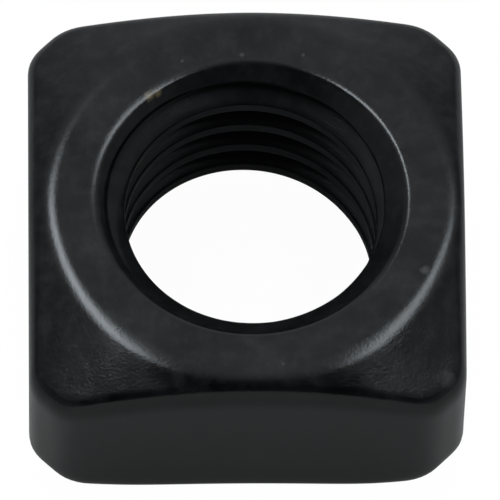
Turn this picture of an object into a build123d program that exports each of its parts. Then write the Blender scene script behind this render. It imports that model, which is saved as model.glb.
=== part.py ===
from build123d import *
from build123d.topology import SkipClean
import math
import os

# Square nut with a right-hand metric coarse thread, made in one piece from steel and blackened.
# It rests on its flat bearing face at Z 0, centred on the thread, which runs along Z.
# The other face is chamfered down to the corners and leaves a round flat ring.

# The body, in millimetres and degrees.
across_flats = 18.0
thickness = 8.8
corner_circle_diameter = 23.4
corner_softness = 1.05
ring_diameter = 16.8
ring_edge_radius = 1.04
chamfer_angle = 26.0
top_edge_radius = 0.6
bottom_edge_radius = 0.65
countersink_diameter = 12.8
countersink_angle = 90.0

# The thread, in millimetres and degrees. Its groove has its middle at groove_height on the +X side,
# and the piece that cuts it reaches past the crests by the overcut.
major_diameter = 12.0
thread_pitch = 1.75
thread_depth = 0.85
thread_overcut = 0.17
thread_angle = 60.0
groove_height = 0.45


def square_blank():
    """Square bar whose four corners are turned back to one circle, with soft ends to that cut."""
    outline = Rectangle(across_flats, across_flats) & Circle(corner_circle_diameter / 2)
    outline = fillet(outline.vertices(), corner_softness)
    return extrude(outline, amount=thickness)


def chamfered_round():
    """Turned body that the blank is cut to: a cone falls from the soft-edged ring past the corners.

    It is turned by half a right angle, so that its seam runs down a corner and off the flats.
    """
    ring = ring_diameter / 2
    slope = math.radians(chamfer_angle)
    soft = ring_edge_radius * math.tan(slope / 2)
    flat_end = (ring - soft, thickness)
    cone_start = (ring + soft * math.cos(slope), thickness - soft * math.sin(slope))
    rim = corner_circle_diameter / 2 + soft
    cone_end = (rim, thickness - (rim - ring) * math.tan(slope))
    section = Curve() + [
        Bezier(flat_end, (ring, thickness), cone_start),
        Polyline(cone_start, cone_end, (rim, 0), (0, 0), (0, thickness), flat_end),
    ]
    return Rot(0, 0, 45) * revolve(Plane.XZ * make_face(section), Axis.Z)


def solid_nut():
    """The nut before its hole is made: blank and turned chamfer, with rounded outer edges."""
    nut = square_blank() & chamfered_round()
    cone = nut.faces().filter_by(GeomType.CONE)[0]
    ring_outline = cone.edges().sort_by(Axis.Z)[-1]
    nut = fillet(cone.edges() - [ring_outline], top_edge_radius)
    return fillet(nut.faces().sort_by(Axis.Z)[0].edges(), bottom_edge_radius)


def bore_quarters():
    """The hole at the thread's crests with a countersink at each face, as four quarters."""
    wide = countersink_diameter / 2
    narrow = major_diameter / 2 - thread_depth
    depth = (wide - narrow) / math.tan(math.radians(countersink_angle / 2))
    section = Polyline(
        (0, 0),
        (wide, 0),
        (narrow, depth),
        (narrow, thickness - depth),
        (wide, thickness),
        (0, thickness),
        close=True,
    )
    quarter = revolve(Plane.XZ * make_face(section), Axis.Z, 90)
    return [Rot(0, 0, turn) * quarter for turn in (0, 90, 180, 270)]


def thread_grooves():
    """The V groove as quarter turns of one right-hand helix, from below the nut to above it.

    The groove is drawn in a plane through the axis. Its flat floor is an eighth of the pitch
    wide, and its mouth lies in the open hole.
    """
    root = major_diameter / 2
    reach = thread_depth + thread_overcut
    floor = thread_pitch / 8
    mouth = floor + 2 * reach * math.tan(math.radians(thread_angle / 2))
    section = Polyline(
        (root - reach, -mouth / 2),
        (root, -floor / 2),
        (root, floor / 2),
        (root - reach, mouth / 2),
        close=True,
    )
    rise = thread_pitch / 4
    quarter_turn = Helix(thread_pitch, rise, root)
    groove = sweep(Plane.XZ * make_face(section), path=quarter_turn, is_frenet=True)
    start = groove_height - thread_pitch
    count = math.ceil((thickness + 2 * thread_pitch) / rise)
    return [Pos(0, 0, start + rise * step) * Rot(0, 0, 90 * step) * groove for step in range(count)]


def square_nut():
    """The whole nut. Hole and thread are cut together, and their short faces stay apart."""
    with SkipClean():
        return solid_nut().cut(*bore_quarters(), *thread_grooves())


os.makedirs("parts", exist_ok=True)
export_step(square_nut(), "parts/square_nut.step")
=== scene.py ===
import math

import bpy
from mathutils import Matrix, Vector


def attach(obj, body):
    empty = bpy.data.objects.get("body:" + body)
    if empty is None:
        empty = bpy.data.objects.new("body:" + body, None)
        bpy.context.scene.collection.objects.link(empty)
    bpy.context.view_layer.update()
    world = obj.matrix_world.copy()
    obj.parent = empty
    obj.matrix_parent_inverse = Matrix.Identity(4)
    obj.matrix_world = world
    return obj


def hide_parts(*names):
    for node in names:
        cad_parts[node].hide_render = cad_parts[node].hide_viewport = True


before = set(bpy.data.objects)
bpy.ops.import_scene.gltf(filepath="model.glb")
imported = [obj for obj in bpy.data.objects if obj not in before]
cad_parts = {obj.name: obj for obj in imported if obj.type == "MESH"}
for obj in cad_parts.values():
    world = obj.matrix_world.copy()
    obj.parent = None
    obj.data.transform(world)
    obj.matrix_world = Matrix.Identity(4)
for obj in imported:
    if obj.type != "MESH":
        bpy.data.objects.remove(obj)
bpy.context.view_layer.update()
scene = bpy.context.scene
scene.view_settings.view_transform = "Standard"
mm = 0.001

# The body of the nut. A square steel bar is cut to length, its upper end is turned to a shallow cone
# that leaves a round flat ring, and every outer edge comes out of the tumbling drum rounded.
# It is drawn here as one skin from the upper mouth of the hole, over the outside, to the lower mouth.
# Front is -Y. This nut's hole lies a little off its middle, and its front is fuller and more worn.
across_flats = 18.0 * mm
thickness = 8.8 * mm
front_swell = 0.2 * mm
back_corner_reach = 11.7 * mm
front_corner_reach = 12.0 * mm
front_corner_lean = 0.2 * mm
corner_blend = 0.45 * mm
ring_radius = 8.35 * mm
chamfer = math.radians(26)
mouth_radius = 6.4 * mm
mouth_softness = 0.18 * mm
mouth_wear = 0.3 * mm
mouth_wear_side = math.radians(-25)
ring_edge_softness = 0.42 * mm
top_edge_softness = 0.55 * mm
top_edge_fall = 0.45 * mm
front_edge_fall = 0.8 * mm
top_edge_share = 0.6
ring_edge_share = 0.35
bottom_edge_softness = 0.65 * mm
front_foot_wear = 0.3 * mm
hole_top = (0.2 * mm, -0.13 * mm)
hole_foot = (0.1 * mm, 0.0)
foot_corner_wear = {math.radians(225): 0.6 * mm, math.radians(315): 1.0 * mm}
corner_wear_spread = math.radians(11)
throat = 1.0 * mm
columns = 320
halvings = 40


def outside(x, y, height):
    """How far a place lies outside the four flats and the round cut of the corners.

    At the front, that cut leans in towards the foot.
    """
    flats = max(abs(x), y, -y - front_swell) - across_flats / 2
    front_reach = front_corner_reach - front_corner_lean * (1 - height / thickness)
    round_cut = math.hypot(x, y) - (front_reach if y < 0 else back_corner_reach)
    overlap = max(corner_blend - abs(flats - round_cut), 0) / corner_blend
    return max(flats, round_cut) + overlap**2 * corner_blend / 4


def hole_axis(height):
    """Where the hole's axis passes this height."""
    share = height / thickness
    return [foot + (top - foot) * share for top, foot in zip(hole_top, hole_foot)]


def wall_distance(angle, height):
    """How far the wall is from the hole's axis at this height."""
    x, y = hole_axis(height)
    near, far = across_flats / 3, across_flats
    for _ in range(halvings):
        middle = (near + far) / 2
        if outside(x + middle * math.cos(angle), y + middle * math.sin(angle), height) < 0:
            near = middle
        else:
            far = middle
    return near


def straight(start, end, pieces):
    """Points between two places of the section, without its ends."""
    return [
        tuple(a + (b - a) * step / pieces for a, b in zip(start, end))
        for step in range(1, pieces)
    ]


def bend(before, corner, after, into, out, pieces):
    """Points on a curve round a corner of the section, from so far before it to so far after it."""
    start = tuple(c + (b - c) * into / math.dist(before, corner) for b, c in zip(before, corner))
    end = tuple(c + (a - c) * out / math.dist(corner, after) for a, c in zip(after, corner))
    pull = math.dist(start, end) / (into + out)
    points = []
    for step in range(pieces + 1):
        t = step / pieces
        weights = ((1 - t) ** 2, 2 * t * (1 - t) * pull, t**2)
        points.append(tuple(
            sum(w * number for w, number in zip(weights, numbers)) / sum(weights)
            for numbers in zip(start, corner, end)
        ))
    return points


def body_section(angle):
    """Distance from the axis, height and wear along the skin, in the half plane at this angle.

    Each edge has the points of its curve and how bright its middle is worn.
    """
    wall = wall_distance(angle, thickness)
    shoulder = thickness - (wall - ring_radius) * math.tan(chamfer)
    upper_throat = (mouth_radius - throat, thickness - throat)
    upper_mouth = (mouth_radius, thickness)
    ring_edge = (ring_radius, thickness)
    top_edge = (wall_distance(angle, shoulder), shoulder)
    bottom_edge = (wall_distance(angle, 0), 0)
    lower_mouth = (mouth_radius, 0)
    lower_throat = (mouth_radius - throat, throat)
    slope = math.dist(ring_edge, top_edge)
    frontward = max(-math.sin(angle), 0)
    leftward = max(-math.cos(angle - mouth_wear_side), 0) ** 2
    mouth_out = mouth_softness + mouth_wear * leftward
    ring_out = min(ring_edge_softness, ring_edge_share * slope)
    top_in = min(top_edge_softness, top_edge_share * slope)
    top_out = top_edge_fall + front_edge_fall * frontward
    foot = bottom_edge_softness + front_foot_wear * frontward**4
    for corner, depth in foot_corner_wear.items():
        foot += depth * math.exp(-(((angle - corner) / corner_wear_spread) ** 2))
    bends = [
        (bend(upper_throat, upper_mouth, ring_edge, mouth_softness, mouth_out, 7), 1.0),
        (bend(upper_mouth, ring_edge, top_edge, ring_edge_softness, ring_out, 8), 1.0),
        (bend(ring_edge, top_edge, bottom_edge, top_in, top_out, 12), 0.6),
        (bend(top_edge, bottom_edge, lower_mouth, foot, foot, 8), 0.6),
        (bend(bottom_edge, lower_mouth, lower_throat, mouth_softness, mouth_softness, 5), 1.0),
    ]
    stretches = (8, 8, 14, 8)
    section = []
    for number, (points, wear) in enumerate(bends):
        for step, point in enumerate(points):
            across = step / (len(points) - 1)
            section.append((point, wear * math.sin(math.pi * across)))
        if number < len(stretches):
            following = bends[number + 1][0][0]
            section += [(point, 0.0) for point in straight(points[-1], following, stretches[number])]
    return section


sections = [body_section(2 * math.pi * column / columns) for column in range(columns)]
rows = len(sections[0])
skin_points = []
skin_wear = []
for column, section in enumerate(sections):
    turn = 2 * math.pi * column / columns
    for (distance, height), edge_wear in section:
        x, y = hole_axis(height)
        skin_points.append((x + distance * math.cos(turn), y + distance * math.sin(turn), height))
        skin_wear.append(edge_wear)
skin_faces = []
for column in range(columns):
    here = column * rows
    beside = (column + 1) % columns * rows
    for row in range(rows - 1):
        skin_faces.append((here + row, here + row + 1, beside + row + 1, beside + row))
body_mesh = bpy.data.meshes.new("nut_body")
body_mesh.from_pydata(skin_points, [], skin_faces)
body_mesh.attributes.new("wear", "FLOAT", "POINT").data.foreach_set("value", skin_wear)
body = bpy.data.objects.new("nut_body", body_mesh)
scene.collection.objects.link(body)

# The blackened steel. The nut is dipped in a hot bath that turns the surface black, then oiled:
# a satin, nearly black skin with cloudy patches and a fine grain, a little greyer on worn edges.
# The surface that the tap and the countersink cut is a little paler and duller.
black_steel = bpy.data.materials.new("black_steel")
black_steel.use_nodes = True
nodes = black_steel.node_tree.nodes
links = black_steel.node_tree.links
shader = nodes["Principled BSDF"]
place = nodes.new("ShaderNodeTexCoord")


def noise(scale, detail, roughness):
    """A cloud pattern in the nut's own space, with its scale in bumps for each metre."""
    node = nodes.new("ShaderNodeTexNoise")
    node.inputs["Scale"].default_value = scale
    node.inputs["Detail"].default_value = detail
    node.inputs["Roughness"].default_value = roughness
    links.new(place.outputs["Object"], node.inputs["Vector"])
    return node.outputs["Fac"]


def spread(value, *ends):
    """Stretches a value from one range to another, given as four ends, and stops it there."""
    node = nodes.new("ShaderNodeMapRange")
    for socket, number in zip(("From Min", "From Max", "To Min", "To Max"), ends):
        node.inputs[socket].default_value = number
    links.new(value, node.inputs["Value"])
    return node.outputs["Result"]


def blend(factor, first, second):
    """A colour between two others, each written out or linked."""
    node = nodes.new("ShaderNodeMix")
    node.data_type = "RGBA"
    links.new(factor, node.inputs["Factor"])
    for socket, colour in (("A", first), ("B", second)):
        target = [s for s in node.inputs if s.name == socket and s.type == "RGBA"][0]
        if isinstance(colour, tuple):
            target.default_value = (*colour, 1)
        else:
            links.new(colour, target)
    return [s for s in node.outputs if s.type == "RGBA"][0]


clouds = noise(330, 5, 0.6)
mottle = noise(1300, 4, 0.7)
grain = noise(9000, 3, 0.6)
ragged = noise(3800, 2, 0.5)
worn_edges = nodes.new("ShaderNodeAttribute")
worn_edges.attribute_name = "wear"
cut_surface = nodes.new("ShaderNodeAttribute")
cut_surface.attribute_name = "cut"
colour = blend(spread(clouds, 0.35, 0.7, 0, 1), (0.0015, 0.0016, 0.0017), (0.007, 0.0073, 0.0079))
colour = blend(spread(mottle, 0.45, 0.75, 0, 0.6), colour, (0.02, 0.0205, 0.0215))
colour = blend(spread(worn_edges.outputs["Fac"], 0.2, 1, 0, 0.5), colour, (0.009, 0.0094, 0.0102))
colour = blend(spread(cut_surface.outputs["Fac"], 0, 1, 0, 0.4), colour, (0.009, 0.009, 0.009))

# Small marks on the skin: a tan chip on the mouth's edge and pale flecks on the ring. The pale patch
# on one corner is a painted highlight, light glinting off a small bump. Each is a place and a size in
# millimetres, and a colour.
rust = (0.13, 0.1, 0.055)
pale_metal = (0.05, 0.05, 0.048)
# A painted highlight: the pale grey of light glinting on a corner, not a mark on the steel.
painted_highlight_grey = (0.045, 0.045, 0.044)
for spot_x, spot_y, spot_z, size, spot_colour in (
    (-3.95, 4.7, 8.75, 0.3, rust),
    (-3.6, 4.85, 8.75, 0.26, rust),
    (-0.12, 6.62, 8.8, 0.16, pale_metal),
    (2.41, 6.6, 8.8, 0.12, pale_metal),
    (-2.61, 6.34, 8.8, 0.12, pale_metal),
    (7.29, -3.54, 8.75, 0.28, pale_metal),
    (1.4, -7.89, 8.8, 0.11, pale_metal),
    # The painted highlight: a patch of glinting light on the front right corner.
    (8.1, -7.85, 7.35, 0.5, painted_highlight_grey),
):
    away = nodes.new("ShaderNodeVectorMath")
    away.operation = "DISTANCE"
    away.inputs[1].default_value = (spot_x * mm, spot_y * mm, spot_z * mm)
    links.new(place.outputs["Object"], away.inputs[0])
    reach = nodes.new("ShaderNodeMath")
    reach.operation = "MULTIPLY_ADD"
    reach.inputs[1].default_value = size * mm
    links.new(ragged, reach.inputs[0])
    links.new(away.outputs["Value"], reach.inputs[2])
    inside = spread(reach.outputs[0], 0.6 * size * mm, 1.4 * size * mm, 1, 0)
    colour = blend(inside, colour, spot_colour)
links.new(colour, shader.inputs["Base Color"])
rougher = nodes.new("ShaderNodeMath")
links.new(spread(clouds, 0.3, 0.7, 0.16, 0.22), rougher.inputs[0])
links.new(spread(cut_surface.outputs["Fac"], 0, 1, 0, 0.04), rougher.inputs[1])
links.new(rougher.outputs[0], shader.inputs["Roughness"])
shader.inputs["Metallic"].default_value = 0.0
shader.inputs["Specular IOR Level"].default_value = 0.37
unevenness = nodes.new("ShaderNodeBump")
unevenness.inputs["Strength"].default_value = 0.5
unevenness.inputs["Distance"].default_value = 0.005 * mm
links.new(mottle, unevenness.inputs["Height"])
fine_grain = nodes.new("ShaderNodeBump")
fine_grain.inputs["Strength"].default_value = 0.3
fine_grain.inputs["Distance"].default_value = 0.02 * mm
links.new(grain, fine_grain.inputs["Height"])
links.new(unevenness.outputs["Normal"], fine_grain.inputs["Normal"])
links.new(fine_grain.outputs["Normal"], shader.inputs["Normal"])

# The thread and the two countersinks. A tap cuts one right-hand V groove, 12 mm across with a pitch
# of 1.75 mm, up the drilled hole. It runs out through the countersunk mouths, where its crests fade.
# The rows of this skin follow the helix, so each crest and flank keeps a clean edge.
pitch = 1.75 * mm
thread = bpy.data.node_groups.new("right_hand_thread", "GeometryNodeTree")
face = thread.interface
face.new_socket("Body", in_out="INPUT", socket_type="NodeSocketGeometry")
thread_sizes = {
    "Crest Radius": 5.2 * mm,
    "Root Radius": 6.0 * mm,
    "Pitch": pitch,
    "Flank Half Angle": math.radians(30),
    "Root Half Width": pitch / 16,
    "Groove Height": 0.45 * mm,
    "Edge Softness": 0.15 * mm,
    "Run-out Softness": 0.16 * mm,
    "Thickness": thickness,
    "Mouth Radius": mouth_radius,
    "Mouth Cut": mouth_softness * math.sin(math.pi / 4),
    "Foot X": hole_foot[0],
    "Foot Y": hole_foot[1],
    "Lean X": (hole_top[0] - hole_foot[0]) / thickness,
    "Lean Y": (hole_top[1] - hole_foot[1]) / thickness,
}
thread_counts = {"Turns": 7, "Columns": columns, "Rows per Turn": 26}
sockets = {}
for name in thread_sizes:
    sockets[name] = face.new_socket(name, in_out="INPUT", socket_type="NodeSocketFloat").identifier
for name in thread_counts:
    sockets[name] = face.new_socket(name, in_out="INPUT", socket_type="NodeSocketInt").identifier
finish_socket = face.new_socket("Finish", in_out="INPUT", socket_type="NodeSocketMaterial")
sockets["Finish"] = finish_socket.identifier
face.new_socket("Nut", in_out="OUTPUT", socket_type="NodeSocketGeometry")
given = thread.nodes.new("NodeGroupInput").outputs


def calc(operation, *values):
    """One step of arithmetic in the thread's tree, on numbers or on links."""
    node = thread.nodes.new("ShaderNodeMath")
    node.operation = operation
    for socket, value in zip(node.inputs, values):
        if isinstance(value, (int, float)):
            socket.default_value = value
        else:
            thread.links.new(value, socket)
    return node.outputs[0]


strip = thread.nodes.new("GeometryNodeMeshGrid")
strip.inputs["Size X"].default_value = 1
thread.links.new(given["Turns"], strip.inputs["Size Y"])
thread.links.new(calc("ADD", given["Columns"], 1), strip.inputs["Vertices X"])
row_count = calc("ADD", calc("MULTIPLY", given["Turns"], given["Rows per Turn"]), 1)
thread.links.new(row_count, strip.inputs["Vertices Y"])
flat_place = thread.nodes.new("ShaderNodeSeparateXYZ")
thread.links.new(thread.nodes.new("GeometryNodeInputPosition").outputs[0], flat_place.inputs[0])
turn = calc("ADD", flat_place.outputs["X"], 0.5)
level = calc("ADD", flat_place.outputs["Y"], calc("MULTIPLY", given["Turns"], 0.5))
along = calc("MULTIPLY", calc("SUBTRACT", level, 1), given["Pitch"])
free_height = calc("ADD", along, calc("MULTIPLY", turn, given["Pitch"]))
top = calc("SUBTRACT", given["Thickness"], given["Mouth Cut"])
height = calc("MINIMUM", calc("MAXIMUM", free_height, given["Mouth Cut"]), top)
above_groove = calc("SUBTRACT", along, given["Groove Height"])
from_groove = calc("PINGPONG", above_groove, calc("MULTIPLY", given["Pitch"], 0.5))
past_floor = calc("SUBTRACT", from_groove, given["Root Half Width"])
up_flank = calc("DIVIDE", past_floor, calc("TANGENT", given["Flank Half Angle"]))
flank = calc("SUBTRACT", given["Root Radius"], up_flank)
cut = calc("SMOOTH_MIN", flank, given["Root Radius"], given["Edge Softness"])
cut = calc("SMOOTH_MAX", cut, given["Crest Radius"], given["Edge Softness"])
nearest_mouth = calc("MINIMUM", height, calc("SUBTRACT", given["Thickness"], height))
cone = calc("SUBTRACT", given["Mouth Radius"], nearest_mouth)
radius = calc("SMOOTH_MAX", cut, cone, given["Run-out Softness"])
angle = calc("MULTIPLY", turn, 2 * math.pi)
axis_x = calc("MULTIPLY_ADD", height, given["Lean X"], given["Foot X"])
axis_y = calc("MULTIPLY_ADD", height, given["Lean Y"], given["Foot Y"])
spot = thread.nodes.new("ShaderNodeCombineXYZ")
thread.links.new(calc("MULTIPLY_ADD", radius, calc("COSINE", angle), axis_x), spot.inputs["X"])
thread.links.new(calc("MULTIPLY_ADD", radius, calc("SINE", angle), axis_y), spot.inputs["Y"])
thread.links.new(height, spot.inputs["Z"])
wound = thread.nodes.new("GeometryNodeSetPosition")
thread.links.new(strip.outputs["Mesh"], wound.inputs["Geometry"])
thread.links.new(spot.outputs[0], wound.inputs["Position"])
tapped = thread.nodes.new("GeometryNodeStoreNamedAttribute")
tapped.inputs["Name"].default_value = "cut"
tapped.inputs["Value"].default_value = 1
thread.links.new(wound.outputs[0], tapped.inputs["Geometry"])
inward = thread.nodes.new("GeometryNodeFlipFaces")
thread.links.new(tapped.outputs[0], inward.inputs[0])
both = thread.nodes.new("GeometryNodeJoinGeometry")
thread.links.new(inward.outputs[0], both.inputs[0])
thread.links.new(given["Body"], both.inputs[0])
welded = thread.nodes.new("GeometryNodeMergeByDistance")
welded.inputs["Distance"].default_value = 0.001 * mm
thread.links.new(both.outputs[0], welded.inputs["Geometry"])
smooth = thread.nodes.new("GeometryNodeSetShadeSmooth")
thread.links.new(welded.outputs[0], smooth.inputs["Geometry"])
plain = thread.nodes.new("GeometryNodeRealizeInstances")
thread.links.new(smooth.outputs[0], plain.inputs[0])
finished = thread.nodes.new("GeometryNodeSetMaterial")
thread.links.new(plain.outputs[0], finished.inputs["Geometry"])
thread.links.new(given["Finish"], finished.inputs["Material"])
thread.links.new(finished.outputs[0], thread.nodes.new("NodeGroupOutput").inputs[0])

tapping = body.modifiers.new("tapping", "NODES")
tapping.node_group = thread
for name, value in {**thread_sizes, **thread_counts, "Finish": black_steel}.items():
    tapping[sockets[name]] = value
tapped_body = body.evaluated_get(bpy.context.evaluated_depsgraph_get())
nut_mesh = bpy.data.meshes.new_from_object(tapped_body)
body.modifiers.remove(tapping)
bpy.data.objects.remove(body)
nut_mesh.name = "square_nut"
nut = bpy.data.objects.new("blackened_square_nut", nut_mesh)
scene.collection.objects.link(nut)
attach(nut, "root")
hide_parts("square_nut")

# The floor. A matt grey sheet that the nut lies on. The nut mirrors it as grey, but the camera sees it
# as white, so that almost nothing is left of the nut's shadow on it.
floor_mesh = bpy.data.meshes.new("floor")
half = 0.6
sunk = -0.02 * mm
corners = [(-half, -half, sunk), (half, -half, sunk), (half, half, sunk), (-half, half, sunk)]
floor_mesh.from_pydata(corners, [], [(0, 1, 2, 3)])
floor = bpy.data.objects.new("floor", floor_mesh)
scene.collection.objects.link(floor)
white_sheet = bpy.data.materials.new("white_sheet")
white_sheet.use_nodes = True
sheet_nodes = white_sheet.node_tree.nodes
sheet_links = white_sheet.node_tree.links
sheet = sheet_nodes["Principled BSDF"]
sheet.inputs["Base Color"].default_value = (0.13, 0.13, 0.13, 1)
sheet.inputs["Roughness"].default_value = 0.9
glow = sheet_nodes.new("ShaderNodeEmission")
glow.inputs["Strength"].default_value = 1.08
seen = sheet_nodes.new("ShaderNodeLightPath")
share = sheet_nodes.new("ShaderNodeMath")
share.operation = "MULTIPLY"
share.inputs[1].default_value = 0.9
sheet_links.new(seen.outputs["Is Camera Ray"], share.inputs[0])
white = sheet_nodes.new("ShaderNodeMixShader")
sheet_links.new(share.outputs[0], white.inputs["Fac"])
sheet_links.new(sheet.outputs[0], white.inputs[1])
sheet_links.new(glow.outputs[0], white.inputs[2])
sheet_links.new(white.outputs[0], sheet_nodes["Material Output"].inputs["Surface"])
floor_mesh.materials.append(white_sheet)

# The light. The room round the nut is pale behind, about half as bright above, dimmer low down at
# the sides, and dark in front, where the camera stands. A soft box hangs on each side above the nut,
# and two low lamps, in front and behind, light only the sheet.
world = bpy.data.worlds.new("pale_room")
scene.world = world
world.use_nodes = True
room = world.node_tree
direction = room.nodes.new("ShaderNodeSeparateXYZ")
room.links.new(room.nodes.new("ShaderNodeTexCoord").outputs["Generated"], direction.inputs[0])


def reckon(operation, *values):
    """One step of arithmetic in the room's light, on numbers or on links."""
    node = room.nodes.new("ShaderNodeMath")
    node.operation = operation
    for socket, value in zip(node.inputs, values):
        if isinstance(value, (int, float)):
            socket.default_value = value
        else:
            room.links.new(value, socket)
    return node.outputs[0]


sideways = reckon("ABSOLUTE", direction.outputs["X"])
low = reckon("SUBTRACT", 1, direction.outputs["Z"])
opening = reckon("MULTIPLY", reckon("MULTIPLY", low, low), 2.5)
behind = reckon("MULTIPLY_ADD", sideways, opening, direction.outputs["Y"])
lit = room.nodes.new("ShaderNodeMapRange")
lit.interpolation_type = "SMOOTHSTEP"
lit.inputs["From Min"].default_value = -0.35
lit.inputs["From Max"].default_value = 0.4
lit.inputs["To Min"].default_value = 0.05
lit.inputs["To Max"].default_value = 1
room.links.new(behind, lit.inputs["Value"])
far_aside = reckon("MAXIMUM", reckon("SUBTRACT", sideways, 0.25), 0)
dimmed = reckon("SUBTRACT", 0.54, reckon("MULTIPLY", reckon("MULTIPLY", far_aside, low), 1.3))
pale = reckon("MULTIPLY", reckon("MAXIMUM", dimmed, 0.22), lit.outputs["Result"])
seen_itself = room.nodes.new("ShaderNodeLightPath").outputs["Is Camera Ray"]
background = room.nodes["Background"]
tint = room.nodes.new("ShaderNodeMix")
tint.data_type = "RGBA"
cool, plain_white = [socket for socket in tint.inputs if socket.type == "RGBA"]
cool.default_value = (0.95, 1, 1.03, 1)
plain_white.default_value = (1, 1, 1, 1)
room.links.new(seen_itself, tint.inputs["Factor"])
tinted = [socket for socket in tint.outputs if socket.type == "RGBA"][0]
room.links.new(tinted, background.inputs["Color"])
room.links.new(reckon("MAXIMUM", pale, seen_itself), background.inputs["Strength"])


def soft_box(name, towards, along, distance, width, length, power):
    """A lamp with a long side along one direction, which hangs this far from the nut and faces it."""
    lamp = bpy.data.lights.new(name, "AREA")
    lamp.shape = "RECTANGLE"
    lamp.size = width
    lamp.size_y = length
    lamp.energy = power
    lamp.color = (0.92, 1, 1.06)
    holder = bpy.data.objects.new(name, lamp)
    outward = Vector(towards).normalized()
    across = Vector(along).cross(outward).normalized()
    facing = Matrix((across, outward.cross(across), outward)).transposed().to_4x4()
    holder.matrix_world = Matrix.Translation(outward * distance) @ facing
    scene.collection.objects.link(holder)
    return holder


soft_box("left_soft_box", (-0.36, 0.19, 0.91), (0.2, 1, 0), 0.4, 0.08, 0.28, 0.75)
soft_box("right_soft_box", (0.37, 0.12, 0.92), (-0.28, 1, 0), 0.4, 0.07, 0.25, 0.42)
sheet_only = bpy.data.collections.new("sheet_only")
sheet_only.objects.link(floor)
for name, side, power in (("front_sheet_lamp", -0.8, 4.4), ("back_sheet_lamp", 0.8, 3.0)):
    sheet_lamp = soft_box(name, (0, side, 0.6), (1, 0, 0), 0.5, 0.1, 0.3, power)
    sheet_lamp.data.color = (1, 1, 1)
    sheet_lamp.light_linking.receiver_collection = sheet_only

# The camera. It looks down at the nut's front from above, through a long lens.
lens_distance = 549.4 * mm
turned = math.radians(-1.968)
raised = math.radians(61.51)
tipped = math.radians(1.522)
aim = Vector((0, 0, 4.5 * mm))
aside = 0.192 * mm
down = 0.218 * mm
back = Vector((
    math.sin(turned) * math.cos(raised),
    -math.cos(turned) * math.cos(raised),
    math.sin(raised),
))
level_right = Vector((math.cos(turned), math.sin(turned), 0))
level_up = back.cross(level_right)
right = math.cos(tipped) * level_right + math.sin(tipped) * level_up
up = math.cos(tipped) * level_up - math.sin(tipped) * level_right
camera_data = bpy.data.cameras.new("camera")
camera_data.lens = 953.7
camera = bpy.data.objects.new("camera", camera_data)
where = aim + aside * right - down * up + lens_distance * back
camera.matrix_world = Matrix.Translation(where) @ Matrix((right, up, back)).transposed().to_4x4()
scene.collection.objects.link(camera)
scene.camera = camera
